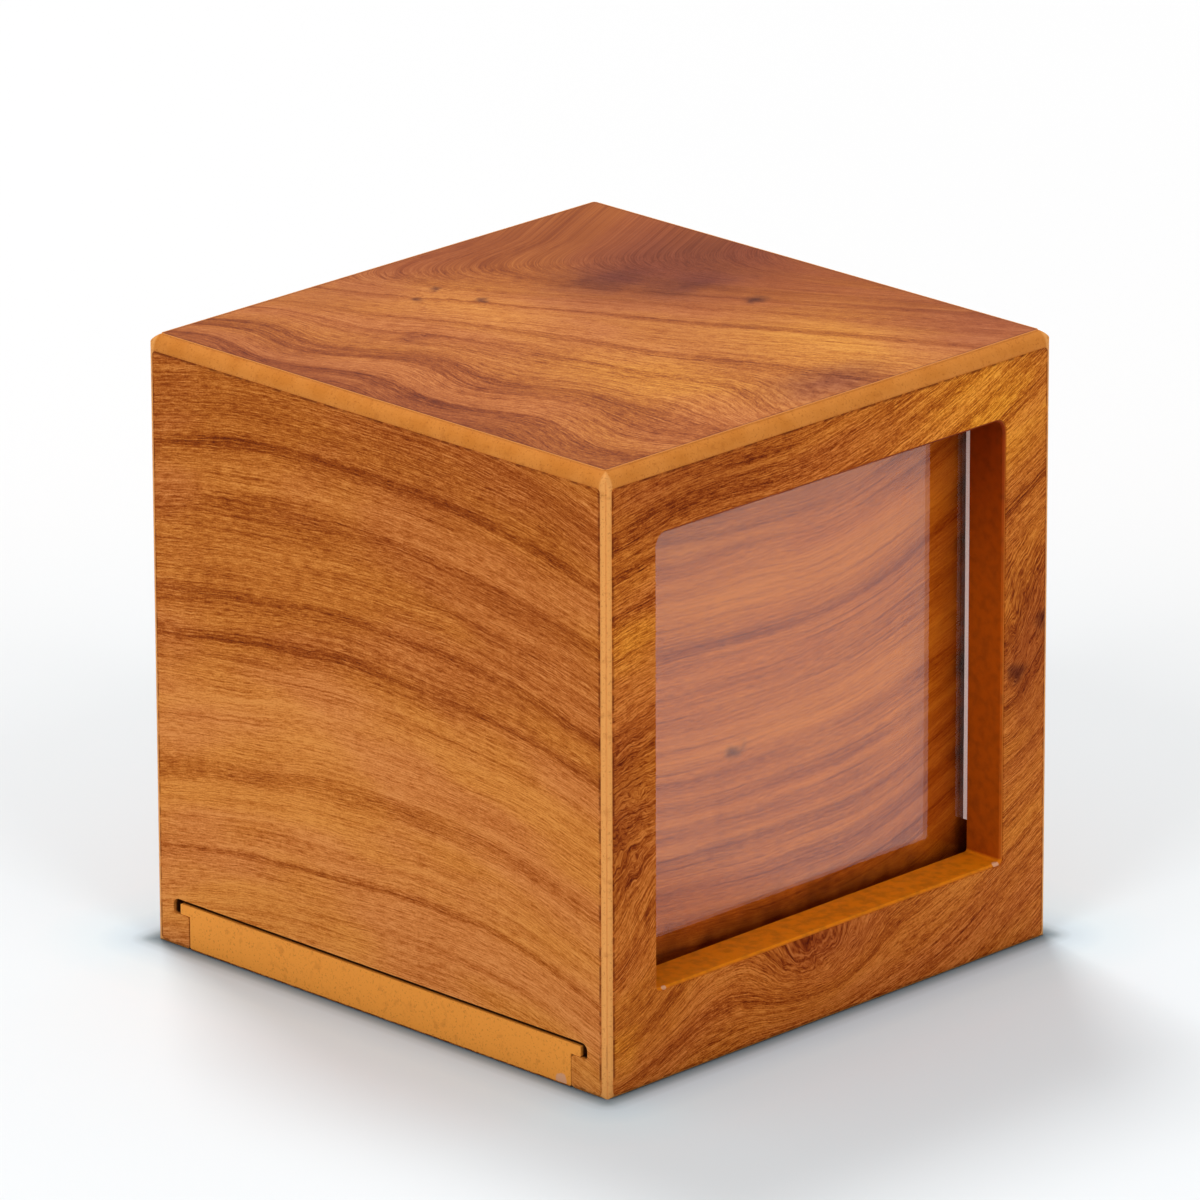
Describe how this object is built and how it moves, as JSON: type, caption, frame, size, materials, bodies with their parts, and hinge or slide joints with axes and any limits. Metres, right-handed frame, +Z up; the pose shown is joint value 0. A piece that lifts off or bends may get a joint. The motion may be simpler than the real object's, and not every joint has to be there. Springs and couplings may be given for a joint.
{
  "type": "keepsake box",
  "caption": "Cube-shaped wood-grain keepsake box with a picture window in front and a base plate that slides out to the side.",
  "frame": {"origin": "on the surface that the box stands on, below the centre of the box", "axes": "+Z up, -Y out of the window, +X to the right as the window is looked at; the base slides out along -X"},
  "size_m": [0.125, 0.126, 0.1265],
  "materials": {
    "wood_grain_foil": "satin printed wood-grain foil, orange-brown with darker streaks",
    "stained_board": "satin lacquered fibreboard, plain tan",
    "clear_pane": "clear polished",
    "foam_tape": "matte white foam"
  },
  "bodies": {
    "case": {"front_frame": "stained_board", "back_wall": "stained_board", "left_wall": "stained_board", "right_wall": "stained_board", "top_panel": "stained_board", "backing_board": "stained_board", "front_foil": "wood_grain_foil", "back_foil": "wood_grain_foil", "left_foil": "wood_grain_foil", "right_foil": "wood_grain_foil", "top_foil": "wood_grain_foil", "backing_foil": "wood_grain_foil", "pane_tape_left": "foam_tape", "pane_tape_right": "foam_tape", "pane_tape_top": "foam_tape", "window_pane": "clear_pane"},
    "base": {"base_plate": "stained_board", "base_foil": "wood_grain_foil"}
  },
  "joints": [
    {"name": "base_slide", "type": "slide", "parent": "case", "child": "base", "axis": [-1, 0, 0], "range_m": [0, 0.117]}
  ]
}
